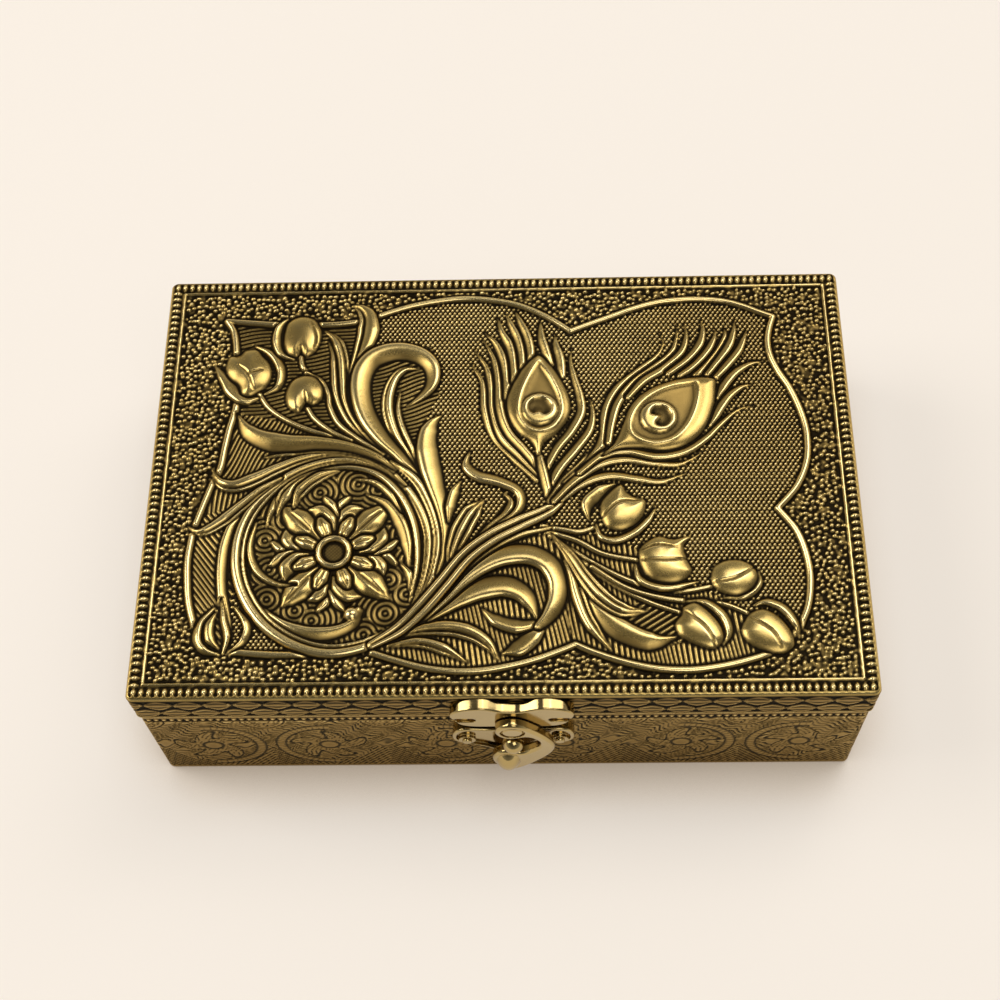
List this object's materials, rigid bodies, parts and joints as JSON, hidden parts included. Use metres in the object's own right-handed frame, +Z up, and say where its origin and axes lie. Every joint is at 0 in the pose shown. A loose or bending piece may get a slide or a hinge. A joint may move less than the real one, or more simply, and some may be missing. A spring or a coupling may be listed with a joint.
{
  "type": "keepsake box",
  "caption": "Rectangular keepsake box: wooden boards clad in embossed antique brass sheet, velvet-lined, with a hinged lid held by a brass swing-hook clasp.",
  "frame": {"origin": "centre of the underside, on the surface the box stands on", "axes": "+X along the long side, -Y towards the clasp, +Z up"},
  "size_m": [0.178, 0.1287, 0.0506],
  "materials": {
    "board": "plain sawn softwood board",
    "embossed_sheet": "embossed sheet, antiqued dark in the hollows and burnished on the high points",
    "clasp_metal": "cast and polished pale gold plate",
    "hinge_metal": "rolled sheet, lightly tarnished",
    "velvet": "short-pile velvet over thin card and wadding",
    "base_cloth": "glued felt"
  },
  "bodies": {
    "box": {"base_board": "board", "front_wall": "board", "back_wall": "board", "left_wall": "board", "right_wall": "board", "body_wrap": "embossed_sheet", "base_cloth": "base_cloth", "floor_pad": "velvet", "lining_front": "velvet", "lining_back": "velvet", "lining_left": "velvet", "lining_right": "velvet", "hinge_left_body_leaf": "hinge_metal", "hinge_right_body_leaf": "hinge_metal", "hinge_left_pin": "hinge_metal", "hinge_right_pin": "hinge_metal", "hinge_body_screws": "hinge_metal", "keeper_plate": "clasp_metal", "keeper_nails": "clasp_metal", "keeper_stud": "clasp_metal"},
    "lid": {"lid_board": "board", "lid_front_rail": "board", "lid_back_rail": "board", "lid_left_rail": "board", "lid_right_rail": "board", "lid_band": "embossed_sheet", "lid_top_sheet": "embossed_sheet", "lid_pad": "velvet", "lid_lining_front": "velvet", "lid_lining_back": "velvet", "lid_lining_left": "velvet", "lid_lining_right": "velvet", "hinge_left_lid_leaf": "hinge_metal", "hinge_right_lid_leaf": "hinge_metal", "hinge_lid_screws": "hinge_metal", "hook_plate": "clasp_metal", "hook_plate_nails": "clasp_metal", "clasp_rivet": "clasp_metal"},
    "hook": {"swing_hook": "clasp_metal"}
  },
  "joints": [
    {"name": "lid_open", "type": "hinge", "parent": "box", "child": "lid", "pos_m": [0, 0.05965, 0.03735], "axis": [-1, 0, 0], "range_deg": [0, 105]},
    {"name": "hook_swing", "type": "hinge", "parent": "lid", "child": "hook", "pos_m": [0.0024, -0.064, 0.0391], "axis": [0, -1, 0], "range_deg": [0, 120]}
  ]
}
